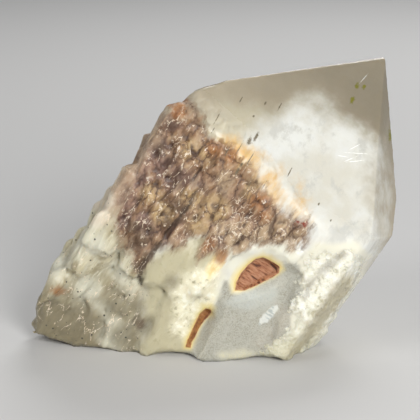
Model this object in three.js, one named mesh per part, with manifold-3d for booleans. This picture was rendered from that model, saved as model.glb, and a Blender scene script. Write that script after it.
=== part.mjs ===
// Candle quartz: one big milky quartz point whose sides are overgrown by small points,
// the candles, all parallel to it, so that the whole stone is a single crystal growth.
// It leans to the right and rests on the flat of its broken foot. Millimetres, +Z up,
// front towards -Y.
import * as THREE from "three";
import { mergeVertices } from "three/addons/utils/BufferGeometryUtils.js";
import Module from "manifold-3d";

const wasm = await Module();
wasm.setup();

// Driving dimensions
const TIP_HEIGHT = 46.3; // where the tip faces meet, above the surface it rests on
const LEAN = 33.2; // degrees from upright of the long axis, towards the right
const TIP_RISE = 38.2; // degrees that a tip face's normal rises above square to the axis
const FRONT_FACE = 20.5; // the front side's distance from the long axis
const BREAK_DEPTH = 1.6; // how far the break low on the front lies behind the front side
const PIT_DEPTH = 1.8; // how far the round rusty pit goes into that break
const LONG_PIT_DEPTH = 3.3; // and the long one at its left
const ROUGH_WIDTH = 120; // the block that the big point's faces are cut from
const ROUGH_LENGTH = 90;
const NARROW_TIP_FACE = 0.16; // how far three tip faces of a candle stand out, in its radii
const CORNER_REACH = 1.15; // how far a six-sided candle's edges reach, in its radii
const SHOULDER_DROP = 1.45; // how far below its tip those edges begin, in its radii
const LEAST_DETAIL = 0.03; // flats and edges that stray less than this are made one
const SEED = 23; // start of the number series that varies the candles

// How far one candle may differ from the next: shares of its pitch, row, radius and
// length, millimetres outwards and degrees of turn.
const SPREAD = { across: 0.2, height: 0.4, size: 0.25, length: 0.2, side: 0.2, out: 0.3, turn: 4 };

// The crystal's own frame has the tip at its origin and the long axis along z: x is to the
// right and y to the back. A face's azimuth turns around the long axis, 0 at the front and
// 90 at the right. Its rise lifts its normal towards the tip, and out is its distance from
// the origin along that normal.
const FRONT_TIP_FACE = { azimuth: 0, rise: TIP_RISE, out: 0 };
const BIG_POINT = [
  { azimuth: 0, rise: 0, out: FRONT_FACE },
  { azimuth: 62, rise: 0, out: 19 },
  { azimuth: 115, rise: 0, out: 10.2 },
  { azimuth: 180, rise: 0, out: 13 },
  { azimuth: -120, rise: 0, out: 14.6 },
  { azimuth: -60, rise: 0, out: 29.2 },
  FRONT_TIP_FACE,
  { azimuth: 56, rise: 40, out: 0 },
  { azimuth: 112, rise: 31, out: 0 },
  { azimuth: 180, rise: 37, out: 0.2 },
  { azimuth: -118.5, rise: TIP_RISE, out: 0 },
  { azimuth: -60, rise: 57.5, out: -0.3 },
  { azimuth: -20, rise: 78, out: -0.35 },
];

// Where the stone's lower left is broken away: the big point, and the candles on it.
const LEFT_BREAK = { azimuth: -90, rise: -19.3, out: 44.4 };
const LEFT_CANDLE_BREAK = { ...LEFT_BREAK, out: 45.6 };

// Floors behind the front's candles, and outlines seen from the front, as places to the
// right and up. Candles cover the stair and the low part, and nothing covers the break.
const STAIR_FLOOR = { azimuth: -4.2, rise: 6, out: 16.6 };
const STAIR_SPACE = [
  [-40, -18], [-13, -22], [-6, -24.5], [3.4, -29], [1, -34], [-6, -40], [-40, -44],
];
const LOW_FLOOR = { azimuth: -11.9, rise: -11.4, out: 28.6 };
const LOW_SPACE = [[-40, -36], [-7, -37], [-5, -46], [-2.6, -54], [2, -80], [-40, -90]];
const BREAK_FLOOR = { azimuth: 2, rise: 1, out: FRONT_FACE - BREAK_DEPTH };
const BREAK_SPACE = [
  [-5.9, -37.6], [-2.6, -34.8], [0.6, -33.4], [3.6, -34.6], [5.6, -33.8], [5.2, -36.8],
  [6.9, -39.4], [6.1, -42.6], [7.8, -45.2], [7, -48.4], [9.6, -51], [9, -60], [-3, -60],
  [-2.6, -54.2], [-4.4, -46.9],
];
const EYE_PIT = [
  [-2.5, -41], [-3, -38.8], [-2.5, -36.8], [-1.2, -35.3], [0.9, -34.6], [1.8, -35.6],
  [0.6, -39.1], [-0.8, -41.4],
];
const LONG_PIT = [
  [-3.4, -46.7], [-2.4, -47.3], [-2.2, -49.6], [-1.9, -52.4], [-1.6, -55], [-2.6, -55],
  [-3.3, -52.6], [-4, -49.9], [-4.1, -47.7],
];

// Hollows that broke out of the foot, as places on the ground measured from below the tip,
// the radius of their round floor and how high they reach. The first ones nick the rim.
const FOOT_HOLLOWS = [
  { x: -20.2, y: -22, radius: 9, height: 1.5 },
  { x: -24, y: -24.5, radius: 12, height: 1.5 },
  { x: -35, y: -20, radius: 10, height: 1.3 },
  { x: -50, y: -21, radius: 20, height: 2 },
  { x: -57, y: -13, radius: 11, height: 1.5 },
  { x: -61, y: 0, radius: 14, height: 1.4 },
  { x: -47, y: 14, radius: 16, height: 1.8 },
  { x: -40, y: 18, radius: 11, height: 1.9 },
  { x: -29, y: 18, radius: 14, height: 1.6 },
  { x: -14, y: 8, radius: 12, height: 1.7 },
  { x: -9, y: -8, radius: 11, height: 1.5 },
  { x: -40, y: -3, radius: 34, height: 0.7 },
  { x: -25, y: 4, radius: 26, height: 0.6 },
];

// A seeded series of numbers from 0 to 1, the same at each run.
function numberSeries(seed) {
  let state = seed >>> 0;
  return () => {
    state = (state + 0x6d2b79f5) >>> 0;
    let mixed = Math.imul(state ^ (state >>> 15), 1 | state);
    mixed = (mixed + Math.imul(mixed ^ (mixed >>> 7), 61 | mixed)) ^ mixed;
    return ((mixed ^ (mixed >>> 14)) >>> 0) / 4294967296;
  };
}
const next = numberSeries(SEED);
const between = (low, high) => low + (high - low) * next();
const vary = (middle, share) => middle * between(1 - share, 1 + share);
const radians = THREE.MathUtils.degToRad;

// The unit normal of a face from its azimuth and rise.
function normalOf(azimuth, rise = 0) {
  const turn = radians(azimuth);
  const lift = radians(rise);
  return [
    Math.sin(turn) * Math.cos(lift),
    -Math.cos(turn) * Math.cos(lift),
    Math.sin(lift),
  ];
}

// A closed three.js geometry as a solid that can be joined and cut.
function solidOf(geometry) {
  const plain = geometry.index ? geometry.toNonIndexed() : geometry.clone();
  plain.deleteAttribute("normal");
  plain.deleteAttribute("uv");
  const merged = mergeVertices(plain, 1e-5);
  return new wasm.Manifold(
    new wasm.Mesh({
      numProp: 3,
      vertProperties: merged.attributes.position.array,
      triVerts: new Uint32Array(merged.index.array),
    }),
  );
}

// Takes away what stands in front of a face.
function cutBack(solid, { azimuth, rise, out }) {
  const inwards = normalOf(azimuth, rise).map((part) => -part);
  return solid.trimByPlane(inwards, -out);
}

// A crystal whose tip is at the origin: a block cut back to each of its faces.
const crystal = (faces, width, length) =>
  faces.reduce(cutBack, solidOf(new THREE.BoxGeometry(width, width, length * 2)));

// One candle, as wide as its radius says where its tip begins. Its faces are parallel to
// the big point's, three of its tip faces are broader than the three between them, and its
// sides draw in downwards to a foot inside the stone.
function candle({ at, radius, length, taper = 5, turn = 0 }) {
  const faces = [];
  const tipLength = radius / Math.tan(radians(TIP_RISE));
  const drawnIn = tipLength * Math.sin(radians(taper));
  for (let side = 0; side < 6; side++) {
    const azimuth = side * 60 + turn;
    const narrow = side % 2 ? NARROW_TIP_FACE : 0;
    faces.push({ azimuth, rise: -taper, out: vary(radius, SPREAD.side) + drawnIn });
    faces.push({ azimuth, rise: TIP_RISE, out: radius * (narrow + between(-0.05, 0.12)) });
  }
  return crystal(faces, radius * 5, length).translate(at);
}

// Whether a place lies inside an outline.
const inside = (outline, x, y) => {
  let hits = false;
  outline.forEach(([x1, y1], i) => {
    const [x2, y2] = outline[(i + 1) % outline.length];
    if (y1 > y !== y2 > y && x < ((x2 - x1) * (y - y1)) / (y2 - y1) + x1) hits = !hits;
  });
  return hits;
};

// Candles in staggered rows over one side of the stone. outline is the patch that they
// cover, as places across the side and along the axis, and proud says how far their
// outermost side faces stand from the axis at such a place.
function candlePatch({ azimuth, outline, pitch, row, radius, length, proud, taper = 5 }) {
  const made = [];
  const [dx, dy] = normalOf(azimuth);
  const across = outline.map(([place]) => place);
  const heights = outline.map(([, height]) => height);
  const [left, right] = [Math.min(...across), Math.max(...across)];
  const [bottom, top] = [Math.min(...heights), Math.max(...heights)];
  let stagger = 0;
  for (let height = top; height > bottom; height -= row) {
    stagger = 0.5 - stagger;
    for (let place = left + stagger * pitch; place < right; place += pitch) {
      const x = place + pitch * between(-SPREAD.across, SPREAD.across);
      const z = height + row * between(-SPREAD.height, SPREAD.height);
      if (!inside(outline, x, z)) continue;
      const size = vary(radius, SPREAD.size);
      const out = proud(x, z) - size + between(-SPREAD.out, SPREAD.out);
      made.push(
        candle({
          at: [dx * out - dy * x, dy * out + dx * x, z],
          radius: size,
          length: vary(length, SPREAD.length),
          taper,
          turn: between(-SPREAD.turn, SPREAD.turn),
        }),
      );
    }
  }
  return made;
}

// How far in front of the axis a front floor lies at a place.
function floorAt({ azimuth, rise, out }, x, z) {
  const [nx, ny, nz] = normalOf(azimuth, rise);
  return -(out - nx * x - nz * z) / ny;
}

// A side that stands further out the lower it is, by a share of the way below a height.
const widening = (out, from, share) => (x, z) => out + share * Math.max(0, from - z);

// The iron-stained stair of small candles across the front, below the big smooth face.
const brownStair = () =>
  candlePatch({
    azimuth: 0,
    outline: [
      [-26, -20.8], [-14, -20.8], [-5, -22.4], [6, -27.8], [2.4, -33], [-7, -39.5], [-26, -43],
    ],
    pitch: 2.7,
    row: 2.35,
    radius: 1.5,
    length: 9,
    proud: (x, z) =>
      Math.min(floorAt(STAIR_FLOOR, x, z) + 0.9, floorAt(FRONT_TIP_FACE, x, z) + 1.5),
    taper: 4,
  });

// The pale, longer candles of the lower left, which stand further back the lower they are.
const lowerLeft = () =>
  candlePatch({
    azimuth: 0,
    outline: [
      [-27, -36], [-18, -40.5], [-7, -38], [-5.5, -46], [-3.5, -54], [0, -62], [-13, -75],
      [-25, -75],
    ],
    pitch: 2.8,
    row: 3.5,
    radius: 1.5,
    length: 7.5,
    proud: (x, z) => floorAt(LOW_FLOOR, x, z) + 0.8 + 0.12 * Math.max(0, z + 52),
    taper: 11,
  });

// The thicker candles in the stair, and between the lower left and the break.
const middleCandles = () =>
  [
    { at: [-13.8, -17.6, -24.2], radius: 2.3, length: 9, taper: 4 },
    { at: [-12, -16.4, -33.6], radius: 3.4, length: 20, taper: 7 },
    { at: [-8.2, -16.8, -38], radius: 2.9, length: 18, taper: 7 },
    { at: [-12.6, -15.6, -43], radius: 2.6, length: 16, taper: 9 },
    { at: [-7, -16.2, -45.5], radius: 2.5, length: 14, taper: 9 },
    { at: [-10, -14.4, -50.5], radius: 2.6, length: 14, taper: 10 },
  ].map(candle);

// The candles that step out one below the other along the left of the outline. Each place
// is that of a shoulder, where the edge of a candle turns into its tip.
const leftSteps = () =>
  [
    [-26.8, -9, -31.5], [-27.5, -11, -41.8], [-28.1, -9.5, -45.4], [-28.2, -12, -49.6],
    [-28.6, -9.5, -53.3], [-28.6, -11.5, -57], [-26.9, -10.5, -61.5], [-25, -8, -66],
  ].map(([x, y, z]) => {
    const radius = vary(1.7, 0.2);
    const at = [x + radius * CORNER_REACH, y, z + radius * SHOULDER_DROP];
    return candle({ at, radius, length: 6.5, taper: 12 });
  });

// The left side, behind those.
const leftSide = () =>
  candlePatch({
    azimuth: -120,
    outline: [[-4, -24], [26, -27], [27, -56], [12, -60], [-4, -60]],
    pitch: 4.2,
    row: 4.4,
    radius: 2.2,
    length: 11,
    proud: widening(15, -24, 0.05),
    taper: 6,
  });

// The narrow side between the left side and the front.
const leftEdge = () =>
  candlePatch({
    azimuth: -60,
    outline: [[-2.5, -29], [6, -24], [5, -48], [-2.5, -60]],
    pitch: 2.7,
    row: 3.2,
    radius: 1.5,
    length: 7.5,
    proud: widening(29.3, -40, -0.08),
    taper: 8,
  });

// The sides that the front view hides carry thicker candles.
const backSide = () =>
  candlePatch({
    azimuth: 180,
    outline: [[-7, -22], [9, -20], [10, -60], [-7, -50]],
    pitch: 4.7,
    row: 5,
    radius: 2.5,
    length: 12,
    proud: widening(13.2, -20, 0.06),
  });

const backRight = () =>
  candlePatch({
    azimuth: 115,
    outline: [[-13, -27], [9, -21], [9, -50], [-13, -45]],
    pitch: 4.4,
    row: 4.6,
    radius: 2.4,
    length: 12,
    proud: widening(10.4, -21, 0.04),
  });

const rightSide = () =>
  candlePatch({
    azimuth: 62,
    outline: [[-12, -33], [0, -25], [0, -52], [-13, -52]],
    pitch: 4,
    row: 5,
    radius: 2.3,
    length: 12,
    proud: widening(19, -25, 0.02),
  });

// The space in front of a slanting floor, within an outline seen from the front.
function frontSpace(outline, floor) {
  const shape = new THREE.Shape(outline.map(([x, z]) => new THREE.Vector2(x, z)));
  const depth = ROUGH_WIDTH / 2;
  const geometry = new THREE.ExtrudeGeometry(shape, { depth, bevelEnabled: false });
  geometry.rotateX(Math.PI / 2);
  return solidOf(geometry).trimByPlane(normalOf(floor.azimuth, floor.rise), floor.out);
}

// The big point, cut back on its front where candles stand in its place.
const body = () =>
  wasm.Manifold.difference([
    crystal([...BIG_POINT, LEFT_BREAK], ROUGH_WIDTH, ROUGH_LENGTH),
    frontSpace(STAIR_SPACE, STAIR_FLOOR),
    frontSpace(LOW_SPACE, LOW_FLOOR),
  ]);

// The smooth break low on the front, and the two pits in it that rust lines.
function frontBreak() {
  const behind = (depth) => ({ ...BREAK_FLOOR, out: BREAK_FLOOR.out - depth });
  return [
    frontSpace(BREAK_SPACE, BREAK_FLOOR),
    frontSpace(EYE_PIT, behind(PIT_DEPTH)),
    frontSpace(LONG_PIT, behind(LONG_PIT_DEPTH)),
  ];
}

// The hollows of the foot, as balls sunk below the surface that it rests on.
const footHollows = () =>
  FOOT_HOLLOWS.map(({ x, y, radius, height }) => {
    const ball = new THREE.SphereGeometry(radius, 16, 20);
    ball.rotateX(Math.PI / 2);
    ball.translate(x, y, height - radius - TIP_HEIGHT);
    return solidOf(ball);
  });

function stone() {
  const grown = wasm.Manifold.union([
    body(),
    ...brownStair(),
    ...middleCandles(),
    ...lowerLeft(),
    ...leftSteps(),
    ...leftSide(),
    ...leftEdge(),
    ...backSide(),
    ...backRight(),
    ...rightSide(),
  ]);
  const leaning = wasm.Manifold.difference([
    cutBack(grown, LEFT_CANDLE_BREAK),
    ...frontBreak(),
  ])
    .rotate([0, LEAN, 0])
    .trimByPlane([0, 0, 1], -TIP_HEIGHT);
  const cut = wasm.Manifold.difference([leaning, ...footHollows()]);
  // The largest shell is the outside: gaps shut in between candles are filled.
  const shells = cut.decompose().sort((one, other) => other.volume() - one.volume());
  return shells[0].simplify(LEAST_DETAIL);
}

function geometryOf(solid) {
  const mesh = solid.getMesh();
  const geometry = new THREE.BufferGeometry();
  geometry.setAttribute(
    "position",
    new THREE.BufferAttribute(new Float32Array(mesh.vertProperties), 3),
  );
  geometry.setIndex(new THREE.BufferAttribute(new Uint32Array(mesh.triVerts), 1));
  geometry.computeVertexNormals();
  return geometry;
}

// Milky quartz, greyish white, with the gloss of glass.
const quartz = new THREE.Mesh(
  geometryOf(stone()),
  new THREE.MeshStandardMaterial({ color: 0xdcd8cc, roughness: 0.35, metalness: 0 }),
);
quartz.name = "candle_quartz";
quartz.position.z = TIP_HEIGHT;

const specimen = new THREE.Group();
specimen.add(quartz);
// The origin goes under the middle of the stone.
const middle = new THREE.Box3().setFromObject(specimen, true).getCenter(new THREE.Vector3());
quartz.position.x -= middle.x;
quartz.position.y -= middle.y;

export default specimen;
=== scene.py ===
# Candle quartz on a pale floor, from the side that the photograph shows. Metres, +Z up, front
# towards -Y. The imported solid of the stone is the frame, and one finer mesh stands for it.
import math

import bmesh
import bpy
import numpy as np
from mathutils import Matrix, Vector, noise


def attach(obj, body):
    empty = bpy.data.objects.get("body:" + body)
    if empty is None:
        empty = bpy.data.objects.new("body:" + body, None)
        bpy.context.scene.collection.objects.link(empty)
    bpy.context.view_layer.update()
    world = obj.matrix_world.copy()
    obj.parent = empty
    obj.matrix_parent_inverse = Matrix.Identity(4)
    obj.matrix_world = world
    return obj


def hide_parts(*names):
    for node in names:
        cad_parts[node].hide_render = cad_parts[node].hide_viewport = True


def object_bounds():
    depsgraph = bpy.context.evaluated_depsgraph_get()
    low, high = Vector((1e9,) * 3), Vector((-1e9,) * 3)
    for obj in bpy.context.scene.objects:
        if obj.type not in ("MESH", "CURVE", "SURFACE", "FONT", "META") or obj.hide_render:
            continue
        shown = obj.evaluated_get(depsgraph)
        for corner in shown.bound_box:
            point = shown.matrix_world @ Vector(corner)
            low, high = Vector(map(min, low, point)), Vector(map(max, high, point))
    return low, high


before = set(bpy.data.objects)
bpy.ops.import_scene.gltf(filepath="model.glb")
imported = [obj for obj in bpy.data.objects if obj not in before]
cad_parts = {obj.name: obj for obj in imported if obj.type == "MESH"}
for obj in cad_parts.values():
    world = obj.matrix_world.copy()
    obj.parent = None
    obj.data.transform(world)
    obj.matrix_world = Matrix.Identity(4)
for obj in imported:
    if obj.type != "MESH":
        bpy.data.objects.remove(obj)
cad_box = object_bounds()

# The stone: one natural quartz crystal. A big point leans to the right, and small points that
# grew parallel to it, the candles, cover its sides. It broke off its bed and weathered: small
# edges are worn, the middle of the front is a smooth swelling, and the breaks are uneven.
MM = 0.001
scene = bpy.context.scene

# The place of the tip in millimetres, the lean from upright, and the normal of the big front
# face, as its parts to the back and along the crystal.
TIP = np.array([28.135, 3.351, 46.3])
LEAN = math.radians(33.2)
FACE_SLOPE = (0.786, 0.618)

# The mesh's grain in millimetres before it is thinned, and its triangles afterwards.
GRAIN = 0.2
MOST_FACES = 196000

# Zones of the front, as places across and along the crystal from its tip, in millimetres.
ZONES = {
    "swelling": [  # the smooth, thick middle
        (-17, -47.5), (-15.5, -43.5), (-12.5, -38.5), (-10, -36.4), (-6.2, -36.8),
        (-6.9, -41.3), (-6.2, -43.5), (-5.2, -45.9), (-4.4, -49.9), (-3.4, -53.9),
        (-2.2, -56.6), (-6, -60), (-9.5, -61), (-10, -55.6), (-12.5, -52.7), (-13.8, -49.5),
    ],
    "lower_left": [  # weathered candles
        (-29, -39.5), (-21.2, -45.9), (-15.9, -47.1), (-14.1, -50.5), (-11, -56.4),
        (-8.2, -61), (-24.5, -72), (-32, -66), (-32, -44),
    ],
    "break": [  # the smooth grey break
        (-4.4, -41.7), (-1.6, -42.5), (0.4, -39.6), (2.2, -36.2), (2, -33.8), (3.3, -33),
        (5.6, -34.8), (7.2, -36.6), (6.9, -39.2), (7, -41.2), (8.9, -42.8), (7.6, -46.3),
        (8.5, -50), (9, -58), (-3, -60), (-1.8, -56), (-3.2, -49.9), (-3.4, -46.4),
        (-3.7, -44.1),
    ],
    "sugary": [  # the grainy side to the right of it
        (4.8, -32.3), (5.5, -29.5), (7.5, -28.6), (9.6, -26.7), (13, -28), (15, -33),
        (15, -39), (14, -50), (9, -54), (7.3, -48.3), (8.8, -43.6), (9.2, -39.7), (6.6, -39.9),
        (6.5, -38), (7.6, -36.6), (5.7, -35.5),
    ],
    "bluish": [  # a patch in the break
        (-1.6, -42.5), (1.1, -39.9), (3.3, -38.7), (4.1, -40.3), (2.9, -42.7), (0.4, -44.3),
        (-2.2, -44.8),
    ],
    "hollow": [  # a hollow in it, darkened with painted shade
        (4.5, -40), (6.7, -40.1), (8, -42.1), (7.9, -46.7), (6.9, -49.4), (5, -47.8),
        (5.2, -45.6), (5.7, -43.3),
    ],
    "lip": [(1.5, -52.6), (4.6, -49.5), (7.5, -49.1), (6.7, -51.6), (4, -53.8)],
    "block": [  # a block in it with split faces
        (4.8, -40.6), (5.5, -41.2), (5.2, -44), (4.3, -45.2), (3.8, -44.1), (4.2, -41.6),
    ],
    "round_rim": [  # the yellow rim of a pit
        (-2.3, -43), (-3.2, -41.9), (-3.7, -40.2), (-3.5, -38.1), (-2.8, -36.1), (-1.8, -34.7),
        (-0.4, -34.4), (1.5, -34.6), (2.4, -35.2), (1.8, -37.4), (0.2, -40.3), (-1.4, -42.2),
    ],
    "long_rim": [  # the same of the other
        (-5.1, -47.1), (-3.9, -46.2), (-3.1, -46.5), (-2.6, -47.9), (-2.9, -49.5), (-2.9, -51),
        (-2.6, -52.6), (-2.4, -54.1), (-2.3, -55), (-3.3, -55.4), (-3.9, -54), (-4.3, -52.2),
        (-4.7, -50.4), (-5, -48.7),
    ],
    "round_pit": [  # the larger rusty pit
        (-2.1, -42.3), (-2.6, -41.2), (-2.8, -39.7), (-2.6, -37.9), (-2.1, -36.3),
        (-1.3, -35.4), (0, -35.3), (1.7, -35.2), (2.2, -36.2), (1.8, -37.4), (1.1, -38.7),
        (0.2, -40.3), (-0.8, -41.6),
    ],
    "long_pit": [  # the narrow one
        (-4.2, -47.5), (-3.3, -47.3), (-2.9, -48.3), (-3.1, -49.8), (-3.1, -51.3),
        (-2.8, -52.9), (-2.8, -53.9), (-2.4, -54.7), (-3.1, -55.1), (-3.5, -54), (-3.8, -52.3),
        (-4.1, -50.7), (-4.4, -49),
    ],
    "stained": [  # the brown stair of small candles
        (-26, -24.9), (-25.4, -23), (-24.6, -22), (-23.4, -22.4), (-21.5, -21.8),
        (-18.2, -23.7), (-14.2, -24.4), (-10.4, -24.7), (-6.6, -26.9), (-0.9, -27.3),
        (1.6, -27.1), (2.5, -29.4), (-2.4, -33.4), (-6, -36.6), (-7.4, -37.4), (-8.8, -38.9),
        (-10.3, -40.2), (-10.3, -38.9), (-10.2, -37.1), (-13, -39.2), (-16.3, -43.4),
        (-16.9, -47.3), (-19.9, -45.5), (-23.7, -42.2), (-25.5, -39.9), (-25.7, -35.5),
        (-26.2, -31.2),
    ],
    "veil": [  # a grey veil above the grainy side
        (7.2, -36.6), (6.3, -34.5), (7.3, -30.5), (8.4, -27.5), (9.5, -27.3), (8.5, -30.5),
        (7.6, -34), (7.9, -37.2),
    ],
    "tan": [  # the low right edge of that side
        (13.8, -31.1), (14.6, -34), (14.4, -38.2), (13.7, -43.2), (13.5, -47.4), (10.8, -47.5),
        (10.6, -44), (10.4, -39), (10.3, -34.5), (10.4, -30.5),
    ],
    "tinged": [  # the stain's way round the left corner
        (-31, -27), (-27, -24), (-24, -24), (-22, -30), (-22, -40), (-25, -44), (-31, -42),
    ],
    "milky": [  # the milk of the big point
        (-13, -25.1), (-12.4, -21.8), (-11.5, -17.7), (-9.2, -13.9), (-5.6, -11.7),
        (-1.4, -11.5), (2.1, -10.7), (5.1, -11.1), (11.4, -19.2), (16, -26), (16, -50),
        (4, -60), (-14, -60), (-20, -40), (-14, -30),
    ],
    "creamy": [  # cream quartz round that
        (-22, -24), (-18, -19.5), (-13, -17), (-9, -14), (-6, -12), (4, -12), (4, -60), (-30, -60),
        (-30, -26),
    ],
    "ochre": [  # the yellow upper edge of the stain
        (-17, -24), (-15.4, -22.7), (-11.7, -22.3), (-8.8, -22.8), (-4, -22.6), (-0.6, -23.6),
        (1.6, -26.1), (-3.5, -28.8), (-8.8, -28.3), (-14.8, -26.6),
    ],
    "gold": [  # a film beside the swelling
        (-8.4, -39), (-7.1, -38.2), (-6.3, -39.2), (-6.5, -41), (-6.9, -42.5), (-7.9, -41.9),
        (-8.2, -40.5),
    ],
}

# Round patches of one tint inside them, as places across and along, and a radius. The strip is
# the clear left edge, and the netted ones carry a fine net of painted glints. Some patches paint
# light and shade instead of tints: light on the right of the swelling, and shade on its left, at
# its lower edge, beside the crease and low down.
PATCHES = {
    "amber": [
        (-20.5, -26.8, 1.3), (-18, -26.4, 1.4), (-18.3, -38, 1.8), (-12.2, -32.9, 2.2),
        (-16.2, -33.6, 1.5), (-8.7, -27.3, 1.3), (-12.5, -36.5, 1.5), (-21.9, -36.1, 1.4),
    ],
    "mauve": [
        (-24.9, -29.9, 1.9), (-22.3, -32, 1.8), (-19.8, -32.1, 1.9), (-23.6, -35, 1.4),
        (-17.1, -31.1, 1.3), (-23.3, -42, 1.2), (-20.5, -40.5, 1.3), (-25.4, -25.2, 1.5),
    ],
    "deep": [
        (-25.6, -25, 1.2), (-19.9, -32.2, 1.4), (-24.3, -29.6, 1.2), (-16.9, -31, 0.9),
        (-19.5, -42, 1), (-22, -30.5, 0.8), (-12.6, -30.2, 0.8),
    ],
    "rosy": [(-24.7, -39.2, 1.9), (-25.6, -36.5, 1.4), (-25, -33, 1.2)],
    "pale": [
        (-26.5, -28.8, 1.5), (-13.5, -28.1, 1.3), (-6.1, -34.6, 2.2), (-2.8, -32, 2.2),
        (-9.2, -35, 1.4), (-19.9, -26, 0.7), (-2, -29.5, 1.5), (0.3, -30.5, 1.7),
    ],
    "rim_strip": [
        (-28.3, -24, 1.5), (-28.4, -26.5, 1.5), (-28.4, -29, 1.5), (-28.5, -32, 1.6),
        (-28.6, -35, 1.6), (-28.6, -38, 1.8), (-27.8, -41.5, 2.2), (-27, -44, 2),
    ],
    "netted": [
        (-8.8, -31, 2.2), (-7, -33, 2), (-8.3, -35.6, 2), (-5, -31.2, 1.8), (-10, -38.3, 1.3),
        (-3.6, -33, 1.3),
    ],
    "cream": [
        (-4.6, -37.8, 2.2), (-2.6, -33.4, 1.8), (1.7, -33.2, 1.7), (3.8, -34.6, 1.2),
        (-4.8, -42.3, 1.4), (-6, -37.5, 1.5), (-0.5, -32.6, 1.5),
    ],
    "orange": [
        (-17.5, -25.3, 1.3), (-27.4, -22.4, 1.3), (-25.2, -23, 1.1), (-9.8, -37.8, 0.9),
        (-7, -28.2, 1.5), (-14.3, -24.8, 0.9), (-25.2, -58.9, 0.9), (-5, -29.5, 1),
        (-7.2, -38.6, 0.8),
    ],
    "dark": [
        (-19.2, -43.6, 1.3), (-16.8, -45.2, 1), (-17.4, -35.8, 1.1), (-17.3, -39.2, 1),
        (-16.8, -47.3, 0.9), (-21.5, -42.2, 0.9), (-16.2, -42.5, 0.9), (-11.1, -56, 0.7),
        (-18.2, -41.5, 1.0),
    ],
    "olive": [
        (-11.1, -56, 1.8), (-13.9, -54.1, 1.6), (-11.2, -46.5, 0.6), (-16, -55.5, 2.4),
        (-22.4, -64.5, 3), (-17.8, -61.7, 2.6),
        (-12, -59.5, 2.2), (-27, -65, 3), (-18.3, -38, 1.2), (-20, -66, 3),
    ],
    "greenish": [(-14.5, -47, 2.4), (-13, -43, 2.2), (-10.5, -41, 1.6)],
    "whitish": [
        (-21.3, -55.8, 1.6), (-24.6, -48, 2), (-14, -60.5, 2.6), (-27.5, -44.8, 1.6),
        (-28, -56, 1.6), (-19.5, -50.5, 1.3), (-17.5, -57.5, 1.2),
    ],
    "bright": [
        (-7.6, -44.2, 2.3), (-6.8, -41.3, 1.1), (-6.4, -48.7, 2.2), (-5, -45.6, 1.4),
        (-5.4, -52.4, 1.4), (-9, -46.8, 1.4),
    ],
}

# The crease beside the stain, darkened with painted shade: its line, half its width and its
# depth. Then the depth of the rusty pits and the width of their walls. All in millimetres.
CREASE = [
    (-16, -32.5), (-15.8, -34.3), (-16, -37.3), (-16.2, -40.3), (-16.5, -43.9), (-16.6, -47),
    (-15.6, -49.5),
]
CREASE_WIDTH, CREASE_DEPTH = 1.0, 0.35
PIT_DEPTH, PIT_WALL = 0.8, 0.8

# Wear. How far inside a zone it starts and is full, worn edges as lines with the distances
# from them at which it starts and is full, hollows of the lower left that are almost worn
# away, and the rounds of smoothing for each, in their order.
ZONE_WEAR = {
    "stained": (-1, 1), "lower_left": (-1.5, 1.5), "break": (-1.2, 0.2),
    "swelling": (-1.5, 1), "sugary": (-0.8, 0.5),
}
PIT_WEAR = (-1.6, -0.6)
WORN_EDGES = {
    "stair": ([(-24, -20.5), (-13, -22), (-6, -24.6), (4, -28.8)], 2.2, 0.6),
    "low_edge": ([(3, -26.1), (12, -26.1)], 3, 1),
    "seam": ([(-3.2, -36), (-4.8, -40), (-4.4, -45)], 1.6, 0.4),
}
SHALLOW = [
    (-22.5, -50.8, 2.6), (-19.9, -52.5, 2.3), (-12.8, -50.5, 2.6), (-16.5, -51.6, 2),
    (-10.6, -50.1, 1.6),
]
SHALLOW_EDGE = 1.2
FAR_CORNER, CORNER_WEAR = (-25, -18), (-4.5, -2)
ROUNDS = {
    "stained": 8, "lower_left": 110, "break": 60, "swelling": 130, "sugary": 20, "pits": 500,
    "stair": 160, "low_edge": 160, "corner": 250, "seam": 200, "shallow": 700,
    "left_end": 120, "beak": 350,
}

# The left end: between which places to the left, down and up it is worn, its beak is worn, and
# its low part is drawn out by OUT, but no further than REACH past the solid. A thin splinter
# in front of SPLINTER_BACK and under SPLINTER_TOP ends at SPLINTER_END. FOOT is flat.
LEFT_END = ((25, 27.5), (-14, -9))
BEAK = ((26, 28), (-12, -9), (2.5, 4.5))
LOW_PART = ((22, 27.5), (-13, -6), (0.3, 2.5))
OUT, REACH = 1.6, 0.9
SPLINTER_BACK, SPLINTER_TOP, SPLINTER_END = -6, 3.4, -28.8
FOOT = 0.02

# The solid's own triangles, merged, drawn again with an even grain and laid back on its faces.
stone_mesh = bmesh.new()
stone_mesh.from_mesh(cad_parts["candle_quartz"].data)
bmesh.ops.remove_doubles(stone_mesh, verts=stone_mesh.verts, dist=0.001 * MM)
facet_data = bpy.data.meshes.new("facets")
stone_mesh.to_mesh(facet_data)
stone_mesh.free()
facets = bpy.data.objects.new("facets", facet_data)
scene.collection.objects.link(facets)
rough_stone = bpy.data.objects.new("rough_stone", facet_data.copy())
scene.collection.objects.link(rough_stone)
even = rough_stone.modifiers.new("even_grain", "REMESH")
even.mode = "VOXEL"
even.voxel_size = GRAIN * MM
wrap = rough_stone.modifiers.new("back_to_the_facets", "SHRINKWRAP")
wrap.target = facets
worked = rough_stone.evaluated_get(bpy.context.evaluated_depsgraph_get())
quartz_data = bpy.data.meshes.new_from_object(worked)
bpy.data.objects.remove(rough_stone)
bpy.data.objects.remove(facets)

count = len(quartz_data.vertices)
places = np.empty(count * 3)
quartz_data.vertices.foreach_get("co", places)
places = places.reshape(-1, 3) / MM
edges = np.empty(len(quartz_data.edges) * 2, int)
quartz_data.edges.foreach_get("vertices", edges)
edges = edges.reshape(-1, 2)


def in_crystal(points):
    """Places measured from the tip: across, to the back, and along the long axis."""
    x, y, z = (points - TIP).T
    turned = (x * math.cos(LEAN) - z * math.sin(LEAN), y, x * math.sin(LEAN) + z * math.cos(LEAN))
    return np.stack(turned, axis=1)


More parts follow.
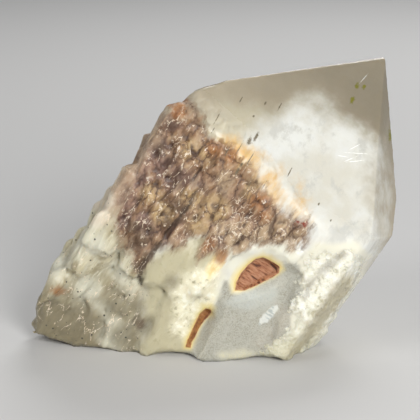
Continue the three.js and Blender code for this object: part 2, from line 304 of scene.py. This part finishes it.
def off_line(line, across, along):
    """How far each place is from a line of straight runs."""
    reach = np.full(len(across), np.inf)
    for (x1, y1), (x2, y2) in zip(line, line[1:]):
        dx, dy = x2 - x1, y2 - y1
        share = ((across - x1) * dx + (along - y1) * dy) / (dx * dx + dy * dy)
        share = np.clip(share, 0, 1)
        reach = np.minimum(reach, np.hypot(across - x1 - share * dx, along - y1 - share * dy))
    return reach


def depth_inside(outline, across, along):
    """How far inside an outline each place lies, and less than nothing outside it."""
    closed = outline + outline[:1]
    reach = off_line(closed, across, along)
    within = np.zeros(len(across), bool)
    for (x1, y1), (x2, y2) in zip(closed, closed[1:]):
        if y1 != y2:
            crossed = (y1 > along) != (y2 > along)
            within ^= crossed & (across < (x2 - x1) * (along - y1) / (y2 - y1) + x1)
    return np.where(within, reach, -reach)


def ramp(value, low, high):
    """0 up to low, 1 from high on, and a smooth rise between."""
    share = np.clip((value - low) / (high - low), 0, 1)
    return share * share * (3 - 2 * share)


def relaxed(points, rounds, share=None):
    """Draws places towards the middle of their neighbours, by share of half the way a round."""
    share = np.ones(count) if share is None else share
    near = edges[(share[edges] > 0).any(axis=1)]
    own = np.unique(near)
    order = np.zeros(count, int)
    order[own] = np.arange(len(own))
    one, other = order[near].T
    ends, others = np.concatenate([one, other]), np.concatenate([other, one])
    links = np.bincount(ends, minlength=len(own))
    moved = points[own]
    for _ in range(rounds):
        for axis in range(3):
            total = np.bincount(ends, weights=moved[others, axis], minlength=len(own))
            moved[:, axis] += 0.5 * share[own] * (total / links - moved[:, axis])
    result = points.copy()
    result[own] = moved
    return result


def outwards(points):
    """The normals of the surface through these places."""
    quartz_data.vertices.foreach_set("co", (points * MM).ravel())
    quartz_data.update()
    normals = np.empty(count * 3, np.float32)
    quartz_data.vertex_normals.foreach_get("vector", normals)
    return normals.reshape(-1, 3).astype(float)


def lumps(points, size, share, octaves=3):
    """Uneven relief up to about share, with lumps of this size in millimetres."""
    share = np.broadcast_to(share, count)
    own = np.flatnonzero(share > 0)
    heights = [noise.fractal(p, 1.0, 2.0, octaves) for p in (points[own] / size).tolist()]
    result = np.zeros(count)
    result[own] = share[own] * heights
    return result


def painted_on(points):
    """How far inside each zone and patch the places lie, and which of them face the front."""
    across, back, along = in_crystal(points).T
    face_depth = FACE_SLOPE[0] * back - FACE_SLOPE[1] * along
    depths = {name: depth_inside(outline, across, along) for name, outline in ZONES.items()}
    for name, patches in PATCHES.items():
        inside = [r - np.hypot(across - x, along - y) for x, y, r in patches]
        depths[name] = np.max(inside, axis=0)
    for name in ("pit", "rim"):
        depths[name] = np.maximum(depths.pop("round_" + name), depths["long_" + name])
    depths["crease"] = CREASE_WIDTH - off_line(CREASE, across, along)
    depths["front"] = np.maximum(ramp(-back, 4, 10), ramp(-face_depth, -6, -3))
    depths["on_front_face"] = ramp(-face_depth, -1.2, -0.3)
    depths["along"] = along
    return depths


painted = painted_on(places)
front = painted["front"]
across, _, along = in_crystal(places).T
ways = (-places[:, 0], -places[:, 2], places[:, 2])
wear = {name: front * ramp(painted[name], *limits) for name, limits in ZONE_WEAR.items()}
wear["pits"] = front * ramp(np.maximum(painted["pit"], painted["rim"]), *PIT_WEAR)
for name, (line, far, near) in WORN_EDGES.items():
    wear[name] = front * ramp(-off_line(line, across, along), -far, -near)
shallow = [r - np.hypot(across - x, along - y) for x, y, r in SHALLOW]
wear["shallow"] = front * ramp(np.max(shallow, axis=0), 0, SHALLOW_EDGE)
from_corner = np.hypot(across - FAR_CORNER[0], along - FAR_CORNER[1])
wear["corner"] = ramp(-from_corner, *CORNER_WEAR)
wear["left_end"] = math.prod(ramp(way, *limits) for way, limits in zip(ways, LEFT_END))
wear["beak"] = math.prod(ramp(way, *limits) for way, limits in zip(ways, BEAK))
shape = relaxed(places, 2)
splinter = (places[:, 1] < SPLINTER_BACK) & (places[:, 2] < SPLINTER_TOP)
shape[splinter, 0] = np.maximum(shape[splinter, 0], SPLINTER_END)
for name, rounds in ROUNDS.items():
    shape = relaxed(shape, rounds, wear[name])
ways = (-shape[:, 0], -shape[:, 2], shape[:, 2])
shape[:, 0] -= OUT * math.prod(ramp(way, *limits) for way, limits in zip(ways, LOW_PART))
painted = painted_on(shape)
front = painted["front"]

# Relief that is too fine for the solid: waves of the big faces, lumps, chips and grain, each
# with its size and its height in millimetres. Candles draw it out along the crystal.
normals = outwards(shape)
drawn_out = in_crystal(shape) * (1, 1, 0.3)
off_face = 1 - painted["on_front_face"]
lift = lumps(shape, 7, 0.06)
lift += lumps(drawn_out, 1.2, 0.12 * wear["stained"])
lift += lumps(drawn_out, 0.9, (0.14 * wear["lower_left"] + 0.05) * off_face)
lift += lumps(drawn_out, 2.2, 0.22 * wear["swelling"])
lift += lumps(shape, 1.8, 0.3 * wear["sugary"], 4)
lift += lumps(shape, 2.5, 0.08 * wear["break"])
lift += lumps(drawn_out, 1.4, 0.3 * wear["stair"])
lift -= CREASE_DEPTH * front * ramp(painted["crease"], 0, CREASE_WIDTH)
lift -= PIT_DEPTH * front * ramp(painted["pit"], 0, PIT_WALL)
shape = shape + normals * lift[:, None]
low, high = (np.array(corner) / MM for corner in cad_box)
low[0] -= REACH
shape = np.clip(shape, low, high)
shape[(places[:, 2] < FOOT) & (wear["left_end"] < 0.2), 2] = 0

# The mesh carries how far each place stands out of its surroundings or lies in a gap between
# candles, and all depths in the zones. Its flats are then thinned.
painted["relief"] = ((shape - relaxed(shape, 40)) * outwards(shape)).sum(axis=1)
painted["worn"] = np.maximum(wear["stair"], wear["low_edge"])
for name, depths in painted.items():
    layer = quartz_data.attributes.new(name, "FLOAT", "POINT")
    layer.data.foreach_set("value", np.ascontiguousarray(depths, np.float32))
outwards(shape)
dense = bpy.data.objects.new("dense", quartz_data)
scene.collection.objects.link(dense)
open_to_thinning = dense.vertex_groups.new(name="open_to_thinning")
thinned = (wear["break"] < 0.5) & (wear["pits"] < 0.5) & (painted["gold"] < -1)
open_to_thinning.add(np.flatnonzero(thinned).tolist(), 1.0, "REPLACE")
thin = dense.modifiers.new("fewer_faces_on_the_flats", "DECIMATE")
thin.vertex_group = open_to_thinning.name
thin.ratio = MOST_FACES / sum(len(polygon.vertices) - 2 for polygon in quartz_data.polygons)
worked = dense.evaluated_get(bpy.context.evaluated_depsgraph_get())
quartz_data = bpy.data.meshes.new_from_object(worked)
quartz_data.name = "quartz"
bpy.data.objects.remove(dense)
for polygon in quartz_data.polygons:
    polygon.use_smooth = True
quartz = bpy.data.objects.new("quartz", quartz_data)
scene.collection.objects.link(quartz)
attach(quartz, "root")
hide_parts("candle_quartz")

# Its material is milky quartz: colourless quartz full of tiny bubbles, which scatter light like
# thin milk. Grown faces have the gloss of glass, broken ones are frosted, and films of iron
# oxide stain it brown.
milky_quartz = bpy.data.materials.new("milky_quartz")
milky_quartz.use_nodes = True
tree = milky_quartz.node_tree
tree.nodes.clear()


def linear(code):
    """An sRGB hex colour as Blender's linear colour."""
    parts = [int(code[i : i + 2], 16) / 255 for i in (0, 2, 4)]
    return [p / 12.92 if p <= 0.04045 else ((p + 0.055) / 1.055) ** 2.4 for p in parts] + [1]


def add(kind, sockets, **settings):
    """Adds a node with its settings, and its inputs as values or as links from other nodes.
    Returns its outputs."""
    made = tree.nodes.new(kind)
    for name, value in settings.items():
        setattr(made, name, value)
    for key, value in sockets.items():
        if isinstance(value, bpy.types.NodeSocket):
            tree.links.new(value, made.inputs[key])
        else:
            made.inputs[key].default_value = value
    return made.outputs


# Millimetres from the tip in the crystal's own directions, and the same squeezed: patterns
# are drawn out lengthwise where an axis counts for less.
to_crystal = {"Vector": add("ShaderNodeTexCoord", {})["Object"], "Scale": (1 / MM,) * 3}
to_crystal["Rotation"] = (0, -LEAN, 0)
to_crystal["Location"] = tuple(in_crystal(np.zeros((1, 3)))[0])
spaces = {"even": add("ShaderNodeMapping", to_crystal)[0]}
for name, scale in {
    "shingled": (1, 1, 0.6), "long": (1, 1, 0.3), "very_long": (1, 1, 0.12),
    "crosswise": (0.4, 1, 1.8),
}.items():
    spaces[name] = add("ShaderNodeMapping", {"Vector": spaces["even"], "Scale": scale})[0]

# How much there is of each pattern and finish, by name. First noise that varies about 0.5,
# with the width of its largest marks in millimetres, its space, detail and roughness. Real
# frost and grit are finer than a pixel and are drawn this coarse so that they show.
amount = {}
for name, (size, space, detail, rough) in {
    "cloud": (9, "even", 6, 0.6),  # veils of bubbles
    "blotch": (4, "long", 6, 0.65),  # patches of stain
    "wisps": (3, "long", 6, 0.7),  # wisps of milk along the growth
    "ragged": (3, "long", 8, 0.72),  # the stain's outline, which follows the candles
    "columns": (1.8, "very_long", 3, 0.55),  # the width of a candle
    "patchy": (1.6, "long", 6, 0.7),  # films of rust on single faces
    "clumps": (1.1, "even", 5, 0.6),  # clumps of sugary grains
    "streaks": (0.8, "very_long", 6, 0.55),  # growth lines
    "hatch": (0.8, "crosswise", 4, 0.55),  # steps of a break
    "fine": (0.5, "even", 5, 0.6),  # grit and chips
    "frost": (0.35, "even", 3, 0.55),  # frosting
}.items():
    marks = {"Vector": spaces[space], "Scale": 1 / size, "Detail": detail, "Roughness": rough}
    amount[name] = add("ShaderNodeTexNoise", marks)[0]

# Then the depths that the mesh carries.
depth = {name: add("ShaderNodeAttribute", {}, attribute_name=name)["Fac"] for name in painted}
for name in ("front", "along", "worn"):
    amount[name] = depth[name]
amount["depth_in_sugary"], amount["depth_in_pit"] = depth["sugary"], depth["pit"]


def frayed(inside, pattern, fray, low, high):
    """A share that rises from 0 to 1 between two depths inside a zone. The zone's edge strays
    by fray times a pattern that varies about 0.5, so half of fray is added to both depths."""
    strayed = {0: amount[pattern], 1: fray, 2: inside}
    strayed = add("ShaderNodeMath", strayed, operation="MULTIPLY_ADD")[0]
    limits = {"Value": strayed, "From Min": low + fray / 2, "From Max": high + fray / 2}
    return add("ShaderNodeMapRange", limits, interpolation_type="SMOOTHSTEP")[0]


# The zones of the front, each with the pattern that frays its edge, how far it does so, and
# the depths where the zone starts and is full.
for name, edge in {
    "stained": ("ragged", 10, -1.4, 1.2),
    "tinged": ("blotch", 6, -1, 2),
    "rim_strip": ("patchy", 2, -0.6, 0.8),
    "netted": ("blotch", 4, -1, 1),
    "cream": ("cloud", 5, -1.5, 1.2),
    "deep": ("patchy", 3.5, -0.8, 0.5),
    "rosy": ("patchy", 4, -1, 0.6),
    "creamy": ("cloud", 9, -3, 3),
    "ochre": ("blotch", 6, -1.6, 1.6),
    "swelling": ("blotch", 4, -1.2, 0.8),
    "lower_left": ("ragged", 6, -1.8, 1.8),
    "break": ("patchy", 2.2, -0.5, 0.5),
    "sugary": ("clumps", 5, -0.5, 0.4),
    "gold": ("patchy", 2.4, -0.6, 0.5),
    "bluish": ("patchy", 4, -1.2, 1),
    "hollow": ("cloud", 3, -0.8, 0.8),
    "lip": ("cloud", 3, -0.8, 0.8),
    "block": ("fine", 0.8, -0.15, 0.2),
    "rim": ("patchy", 1.2, -0.7, 0.7),
    "long_pit": ("fine", 0.2, -0.1, 0.1),
    "tan": ("blotch", 4, -1.2, 1.2),
    "veil": ("wisps", 3, -0.6, 0.6),
    "pit": ("fine", 0.2, -0.1, 0.1),
    "amber": ("patchy", 4, -1, 0.6),
    "mauve": ("patchy", 4, -1, 0.6),
    "pale": ("patchy", 4, -1, 0.6),
    "orange": ("patchy", 4, -0.8, 0.5),
    "dark": ("patchy", 4, -0.8, 0.5),
    "olive": ("blotch", 4, -1.5, 1),
    "greenish": ("cloud", 4, -1.5, 1.5),
    "whitish": ("blotch", 5, -1.5, 1),
    "bright": ("blotch", 4, -1.5, 1),
    "crease": ("patchy", 4.5, 0.2, 1),
}.items():
    share = frayed(depth[name], *edge)
    amount[name] = add("ShaderNodeMath", {0: share, 1: depth["front"]}, operation="MULTIPLY")[0]

# The milk goes all the way round. Small ridges, where the surface stands out, get painted
# highlights, and the gaps between candles, where it lies back, get painted shade, and in the
# stain also rust.
amount["milky"] = frayed(depth["milky"], "cloud", 9, -2.5, 3.5)
amount["ridge_highlight"] = frayed(depth["relief"], "fine", 0.12, 0.08, 0.18)
amount["gap"] = frayed(depth["relief"], "fine", 0.08, -0.05, -0.2)


# The broken surfaces are flat flakes of two widths in millimetres. Painted light and shade make
# each flake lighter in its middle, and its edges carry painted glints, as thin curved lines at
# the last distance and as a fine net, or dark lines of iron oxide and painted shade.
FLAKE, SMALL_FLAKE, CURL = 2.2, 0.8, 1.5


def warped(space, size, stray):
    """Coordinates in units of size, which stray by some millimetres."""
    strays = add("ShaderNodeTexNoise", {"Vector": spaces[space], "Scale": 1.2})["Color"]
    strays = add("ShaderNodeVectorMath", {0: strays, "Scale": stray}, operation="SCALE")[0]
    moved = {0: spaces[space], 1: strays}
    moved = add("ShaderNodeVectorMath", moved, operation="ADD")[0]
    return add("ShaderNodeVectorMath", {0: moved, "Scale": 1 / size}, operation="SCALE")[0]


def flakes(where):
    """Height over flat cells, each tilted its own way but mostly towards the tip like
    shingles, and the distance to a cell's edge."""
    cells = {"Vector": where, "Scale": 1.0}
    cell = add("ShaderNodeTexVoronoi", cells)
    slope = {0: cell["Color"], 1: (0.5, 0.5, 0.1)}
    slope = add("ShaderNodeVectorMath", slope, operation="SUBTRACT")[0]
    offset = {0: where, 1: cell["Position"]}
    offset = add("ShaderNodeVectorMath", offset, operation="SUBTRACT")[0]
    tilt = add("ShaderNodeVectorMath", {0: slope, 1: offset}, operation="DOT_PRODUCT")
    return tilt["Value"], add("ShaderNodeTexVoronoi", cells, feature="DISTANCE_TO_EDGE")["Distance"]


amount["tilt"], amount["to_edge"] = flakes(warped("shingled", FLAKE, 1.6))
amount["small_tilt"], amount["to_small_edge"] = flakes(warped("shingled", SMALL_FLAKE, 0.5))
curls = {"Vector": warped("long", CURL, 1.4), "Scale": 1.0}
amount["to_curl"] = add("ShaderNodeTexVoronoi", curls, feature="DISTANCE_TO_EDGE")["Distance"]
level = add("ShaderNodeMath", {0: amount["frost"], 1: 0.5}, operation="SUBTRACT")[0]
amount["off_level"] = add("ShaderNodeMath", {0: level}, operation="ABSOLUTE")[0]


def where_all(*parts):
    """Where all parts are found: their product. Each part is a number, an amount's name, or a
    name with the two limits between which that amount counts from 0 to 1."""
    product = None
    for part in parts:
        if isinstance(part, str):
            part = amount[part]
        elif isinstance(part, tuple):
            name, low, high = part
            limits = {"Value": amount[name], "From Min": low, "From Max": high}
            part = add("ShaderNodeMapRange", limits, interpolation_type="SMOOTHSTEP")[0]
        if product is None:
            product = part
        else:
            product = add("ShaderNodeMath", {0: product, 1: part}, operation="MULTIPLY")[0]
    return product


# Dark specks, in two sizes, on some of the points of two grids: the distance between points,
# the size of a speck as a share of it, and how rarely a point has one.
amount["speck"] = 0.0
for apart, reach, rarely in ((1.2, 0.18, 0.55), (0.6, 0.16, 0.3)):
    points = add("ShaderNodeTexVoronoi", {"Vector": spaces["even"], "Scale": 1 / apart})
    amount["to_point"] = points["Distance"]
    amount["picked"] = add("ShaderNodeSeparateColor", {0: points["Color"]})["Red"]
    spot = where_all(("to_point", reach, reach / 2), ("picked", rarely, rarely - 0.05))
    specks = {0: spot, 1: amount["speck"]}
    amount["speck"] = add("ShaderNodeMath", specks, operation="MAXIMUM")[0]

# Amounts made of others: the larger of two, the product of two, or what one leaves of 1.
for name, operation, first, second in (
    ("stain", "MAXIMUM", ("stained",), ("tinged", 0.3)),
    ("inside_rim", "SUBTRACT", (1.0,), ("rim_strip",)),
    ("iron", "MULTIPLY", ("stain",), ("inside_rim",)),
    ("rough_front", "MAXIMUM", ("iron",), ("lower_left",)),
    ("speckled", "MAXIMUM", ("lower_left",), ("sugary", 0.3)),
    (
        "painted_glint", "MAXIMUM",
        (("to_curl", 0.035, 0.012), ("patchy", 0.5, 0.53), ("fine", 0.42, 0.5)),
        ("netted", ("to_small_edge", 0.05, 0.02), ("fine", 0.48, 0.54)),
    ),
    ("without_milk", "SUBTRACT", (1.0,), ("milky",)),
):
    sockets = {0: where_all(*first), 1: where_all(*second)}
    amount[name] = add("ShaderNodeMath", sockets, operation=operation)[0]

# Single marks in the crystal: a place from the tip, half of the width across and of the
# length along, and a turn of these in degrees. They reach this far in to the back.
MARK_DEPTH = 1.5
MARKS = {
    "inclusions": [
        ((-19.4, -16.6, -21), 0.08, 1, 0), ((-19, -17.9, -22.8), 0.08, 0.5, 0),
        ((-17.5, -13.4, -17.1), 0.08, 0.4, 0), ((-14.5, -14.2, -18.1), 0.15, 0.2, 0),
        ((-12.6, -16.1, -20.4), 0.25, 0.7, 0), ((-13.2, -16.8, -21.3), 0.3, 0.5, 0),
        ((-14, -18.1, -22.9), 0.08, 1, 0), ((-11.7, -18.3, -23.2), 0.08, 1, 0),
        ((-9.7, -21, -26.6), 0.1, 1, 0), ((-7.7, -20.1, -25.6), 0.08, 0.8, 0),
        ((-5.2, -17.3, -22), 0.08, 0.7, 0), ((-13.8, -12.4, -15.6), 0.12, 0.3, 0),
        ((-11.5, -11.8, -14.9), 0.1, 0.5, 0), ((1.3, -18.5, -23.5), 0.12, 0.2, 0),
        ((4.2, -19.2, -24.5), 0.12, 0.2, 0), ((-15.4, -19.1, -24.2), 0.08, 0.6, 0),
        ((-12.4, -18.4, -25.8), 0.2, 1, 0), ((-7.7, -17.5, -42), 0.35, 0.15, -30),
    ],
    "green_spots": [
        ((-1.9, -4.9, -6.2), 0.3, 0.4, 0), ((-0.8, -4.5, -5.7), 0.25, 0.3, 0),
        ((-1.5, -6.5, -8.3), 0.3, 0.5, 0), ((7.7, -3.5, -9.7), 0.8, 1.4, 0),
    ],
    "rust_spots": [
        ((-0.2, -21.6, -27.6), 0.5, 0.5, 0), ((0.8, -21.4, -27.1), 0.4, 0.6, 0),
        ((11, -20.5, -22.5), 0.12, 1, 0), ((12, -17, -18.4), 0.15, 0.8, 0),
    ],
    # painted glints along fine cracks
    "crack_glints": [
        ((3.1, -11.5, -14.5), 1.8, 0.05, -25), ((2.4, -10.9, -13.8), 0.8, 0.05, -53),
        ((2.5, -12.5, -15.8), 0.9, 0.05, -48), ((3.6, -12.3, -15.5), 1.3, 0.05, -33),
        ((1.2, -12.6, -16), 0.7, 0.05, -20), ((-1.4, -3.6, -4.5), 0.9, 0.05, -75),
    ],
}
for name, marks in MARKS.items():
    nearest = 9.0
    for place, half_width, half_length, degrees in marks:
        around = {"Vector": spaces["even"], "Location": place}
        around["Rotation"] = (0, math.radians(degrees), 0)
        around["Scale"] = (half_width, MARK_DEPTH, half_length)
        spread = add("ShaderNodeMapping", around, vector_type="TEXTURE")[0]
        away = add("ShaderNodeVectorMath", {0: spread}, operation="LENGTH")["Value"]
        nearest = add("ShaderNodeMath", {0: away, 1: nearest}, operation="MINIMUM")[0]
    amount[name] = frayed(nearest, "fine", 3, 1.5, 0.5)

# Its colours, one over the other: each with what it needs to show.
COATS = [
    # pale quartz all round: a yellower foot, painted shade in the gaps, cream, and milk in veils
    ("B3A98A", ("along", -34, -62), ("cloud", 0.35, 0.6), 0.8),
    ("928A74", "gap", 0.5),
    ("BFB8A2", "creamy"),
    ("CFCCC0", "milky"),
    ("DADAD4", "milky", ("cloud", 0.35, 0.6)),
    ("C2C1B9", "milky", ("wisps", 0.49, 0.66)),
    ("E2E0D0", "cream", 0.85),
    # the lower left: weathered candles with brown between them, and painted light and shade
    ("C6BEA2", "lower_left"),
    ("D9D5BF", "lower_left", ("blotch", 0.46, 0.64)),
    ("A1977B", "lower_left", ("wisps", 0.5, 0.36)),
    ("B09A78", "lower_left", ("patchy", 0.6, 0.72)),
    ("E0DCC8", "lower_left", ("streaks", 0.54, 0.7)),
    ("A89E84", "lower_left", ("streaks", 0.46, 0.3)),
    # painted light in the middle of each flake
    ("DEDAC8", "lower_left", ("to_edge", 0.1, 0.4), 0.2),
    ("D3CEB8", "lower_left", ("columns", 0.5, 0.66)),
    ("A69C80", "lower_left", ("columns", 0.47, 0.32)),
    # painted shade towards the bottom
    ("8A8066", "lower_left", ("along", -50, -66)),
    ("D6D4C2", "whitish", 0.75),
    # the swelling: cream, greenish and olive painted shade, painted light, and a gold film
    ("C2BB9E", "swelling"),
    # greenish painted shade on its left
    ("BDB698", "greenish", 0.7),
    # painted light on its right side, with whiter painted highlights in clumps
    ("EAE5CC", "bright"),
    ("F8F5E4", "bright", ("clumps", 0.5, 0.64)),
    ("B5AE90", "swelling", ("clumps", 0.45, 0.3)),
    # olive painted shade at the edges of the swelling and the crease, and low down
    ("887F66", "olive", 0.75),
    ("DDC78E", "gold"),
    ("EFE4BE", "gold", ("patchy", 0.45, 0.6)),
    # the break: grey and frosted, with a bluish patch, a yellow lip and a split block
    ("DCD9C8", ("depth_in_sugary", -2.2, -1), "front"),
    ("A29F91", "break"),
    ("B2B0A3", "break", ("wisps", 0.45, 0.7)),
    ("BFC4BE", "break", "bluish", 0.7),
    # painted shade in the hollow
    ("ADA798", "hollow"),
    ("CFCAB0", "lip"),
    ("BDBCB1", "break", ("off_level", 0.08, 0.032), 0.6),
    ("8E8C81", "break", ("frost", 0.42, 0.3), 0.3),
    ("DDDED6", "block", 0.8),
    ("B4B9B4", "block", ("hatch", 0.48, 0.58)),
    # the sugary side: white grains, tan low down
    ("EAE8D9", "sugary"),
    ("F4F3E8", "sugary", ("clumps", 0.5, 0.62)),
    ("CAC6AF", "sugary", ("clumps", 0.46, 0.34)),
    ("CBC7AC", "sugary", ("along", -38, -50)),
    ("B0A585", "tan", 0.8),
    ("B9B4A6", "veil", 0.7),
    # painted shade in gaps, the yellow upper edge of the stain, and the stain round the corner
    ("857B60", "gap", "front", 0.4),
    ("D2AC68", "ochre", ("blotch", 0.35, 0.7)),
    ("BBA289", "tinged", 0.6),
    ("D6CBB8", "rim_strip", 0.85),
    # the stain: brown, with rosy, mauve, amber and orange patches, and painted light and shade
    ("967455", "iron", 0.92),
    ("AC8B68", "iron", ("blotch", 0.5, 0.66)),
    ("A98B79", "iron", "rosy"),
    ("8C7063", "iron", "mauve"),
    ("604A3E", "iron", "deep", 0.8),
    ("B59A70", "iron", "amber"),
    ("BCA688", "iron", "pale", 0.8),
    ("A26E3E", "orange", 0.8),
    # painted light in the middle of each flake, and painted shade towards its edges
    ("C5AD8E", "iron", ("to_edge", 0.1, 0.4), 0.5),
    ("5E4434", "iron", ("to_edge", 0.2, 0), 0.5),
    # patches of painted shade beside the crease and at the swelling's edge
    ("5A4534", "dark", 0.7),
    # rust and painted shade in the gaps between candles
    ("4A3022", "iron", "gap", 0.8),
    # dark seams along the flake edges: iron oxide and painted shade
    ("4E3428", "iron", ("to_edge", 0.05, 0.015), ("patchy", 0.5, 0.44), 0.7),
    # painted shade in the crease
    ("5A4838", "crease", ("fine", 0.75, 0.4)),
    # painted highlights on ridges, and painted glints
    ("DCCFBE", "iron", "ridge_highlight", ("fine", 0.54, 0.62)),
    ("EADCC6", "rough_front", "painted_glint", 0.85),
    # the pits: a yellow rim and rust
    ("E6D698", "rim", 0.9),
    ("DABD72", "rim", ("depth_in_pit", -0.5, 0), 0.8),
    ("A06A48", "pit"),
    ("BC8C6A", "pit", ("hatch", 0.42, 0.6)),
    ("5E3522", "pit", ("hatch", 0.47, 0.35)),
    ("AE7A40", "long_pit", 0.8),
    ("7A4A28", "long_pit", ("patchy", 0.52, 0.4)),
    # specks and single marks
    ("45433A", "speck", "speckled"),
    ("7A705C", "inclusions"),
    ("8F8B3C", "green_spots"),
    ("8E3F2A", "rust_spots"),
    # painted glints along fine cracks
    ("F8F7F2", "crack_glints"),
]
base = {0: amount["cloud"], 6: linear("9A907B"), 7: linear("B9AF9A")}
colour = add("ShaderNodeMix", base, data_type="RGBA")[2]
for code, *parts in COATS:
    coat = {0: where_all(*parts), 6: colour, 7: linear(code)}
    colour = add("ShaderNodeMix", coat, data_type="RGBA")[2]

# Roughness: 0.15 to 0.3 for grown faces, and more where they are stained, broken or worn.
GLOSSY, GRIT = 0.15, 0.15
glossy = {0: amount["fine"], 1: GRIT, 2: GLOSSY}
roughness = add("ShaderNodeMath", glossy, operation="MULTIPLY_ADD")[0]
for name, rough in (
    ("iron", 0.5), ("lower_left", 0.45), ("break", 0.5), ("sugary", 0.55),
    ("swelling", 0.42), ("pit", 0.7), ("worn", 0.6),
):
    sockets = {0: amount[name], 2: roughness, 3: rough}
    roughness = add("ShaderNodeMix", sockets)[0]

# Relief that is too fine for the mesh, in millimetres: the last number of each is its height.
height = 0.0
for parts in (
    ("fine", 0.03),
    ("iron", "tilt", 1.2),
    ("lower_left", "tilt", 0.2),
    ("iron", ("to_edge", 0, 0.4), 0.3),
    ("iron", "small_tilt", 0.15),
    ("lower_left", "small_tilt", 0.08),
    ("sugary", "clumps", 0.8),
    ("sugary", "fine", 0.15),
    ("break", "frost", 0.08),
    ("swelling", "patchy", 0.2),
    ("swelling", "frost", 0.06),
    ("pit", "hatch", 0.4),
    ("milky", "cloud", 0.1),
):
    height = add("ShaderNodeMath", {0: where_all(*parts), 1: height}, operation="ADD")[0]
bump = add("ShaderNodeBump", {"Height": height, "Distance": MM, "Strength": 1.0})[0]

# Light goes 1 to 2 mm into the milk, and the tip, which has the least of it, is part clear.
surface = add(
    "ShaderNodeBsdfPrincipled",
    {
        "Base Color": colour,
        "Roughness": roughness,
        "IOR": 1.544,
        "Normal": bump,
        "Transmission Weight": where_all(("along", -24, -4), "without_milk", 0.4),
        "Subsurface Weight": 1.0,
        "Subsurface Radius": (1.0, 0.92, 0.8),
        "Subsurface Scale": 1.8 * MM,
    },
)[0]
add("ShaderNodeOutputMaterial", {"Surface": surface})
quartz_data.materials.clear()
quartz_data.materials.append(milky_quartz)

# The floor: a wide sheet of matt pale card. It lies flat under the stone and reaches out of
# sight behind it, and its fine paper grain scatters light evenly.
FLOOR_RADIUS = 1.5
floor_mesh = bmesh.new()
bmesh.ops.create_circle(floor_mesh, cap_ends=True, segments=64, radius=FLOOR_RADIUS)
floor_data = bpy.data.meshes.new("floor")
floor_mesh.to_mesh(floor_data)
floor_mesh.free()
floor = bpy.data.objects.new("floor", floor_data)
scene.collection.objects.link(floor)
card = bpy.data.materials.new("matt_card")
card.use_nodes = True
card.node_tree.nodes["Principled BSDF"].inputs["Base Color"].default_value = linear("C9C8C6")
card.node_tree.nodes["Principled BSDF"].inputs["Roughness"].default_value = 0.9
floor_data.materials.append(card)

# Soft studio light: a large key from the front right, a wide fill from the left, a lamp behind
# that lights the edges, and an even pale surround. Angles are from the front and the horizon
# in degrees, distances and widths in metres.
LAMPS = {
    "key": {"azimuth": 20, "rise": 22, "away": 0.45, "width": 0.16, "watts": 1.9},
    "fill": {"azimuth": -55, "rise": 35, "away": 0.5, "width": 0.3, "watts": 0.6},
    "behind": {"azimuth": 160, "rise": 45, "away": 0.5, "width": 0.3, "watts": 1.2},
}
AIM = Vector((0, 0, 0.02))
for name, lamp in LAMPS.items():
    data = bpy.data.lights.new(name, "AREA")
    data.shape = "DISK"
    data.size = lamp["width"]
    data.energy = lamp["watts"]
    turn, lift_angle = math.radians(lamp["azimuth"]), math.radians(lamp["rise"])
    level = math.cos(lift_angle)
    towards = Vector((math.sin(turn) * level, -math.cos(turn) * level, math.sin(lift_angle)))
    light = bpy.data.objects.new(name, data)
    light.location = AIM + towards * lamp["away"]
    light.rotation_euler = towards.to_track_quat("Z", "Y").to_euler()
    scene.collection.objects.link(light)
surround = bpy.data.worlds.new("surround")
surround.use_nodes = True
surround.node_tree.nodes["Background"].inputs["Color"].default_value = linear("DADCE0")
surround.node_tree.nodes["Background"].inputs["Strength"].default_value = 0.3
scene.world = surround
scene.view_settings.view_transform = "Standard"

# The camera stands in front, 15 degrees above the horizon, with a long lens. In its picture,
# 420 pixels each way, the tip shows at this pixel across and down, and a pixel is 0.165 mm.
HALF_PICTURE = 210
TIP_ACROSS, TIP_DOWN = 385, 56
PIXEL = 0.165
LENS, SENSOR = 135, 36
RISE = math.radians(15)
view_up = Vector((0, math.sin(RISE), math.cos(RISE)))
view_back = Vector((0, -math.cos(RISE), math.sin(RISE)))
aside = Vector((HALF_PICTURE - TIP_ACROSS, 0, 0))
target = Vector(TIP) + (aside - view_up * (HALF_PICTURE - TIP_DOWN)) * PIXEL
reach = HALF_PICTURE * PIXEL * LENS / (SENSOR / 2)
camera_data = bpy.data.cameras.new("camera")
camera_data.lens = LENS
camera_data.sensor_width = SENSOR
camera = bpy.data.objects.new("camera", camera_data)
camera.location = (target + view_back * reach) * MM
camera.rotation_euler = view_back.to_track_quat("Z", "Y").to_euler()
scene.collection.objects.link(camera)
scene.camera = camera
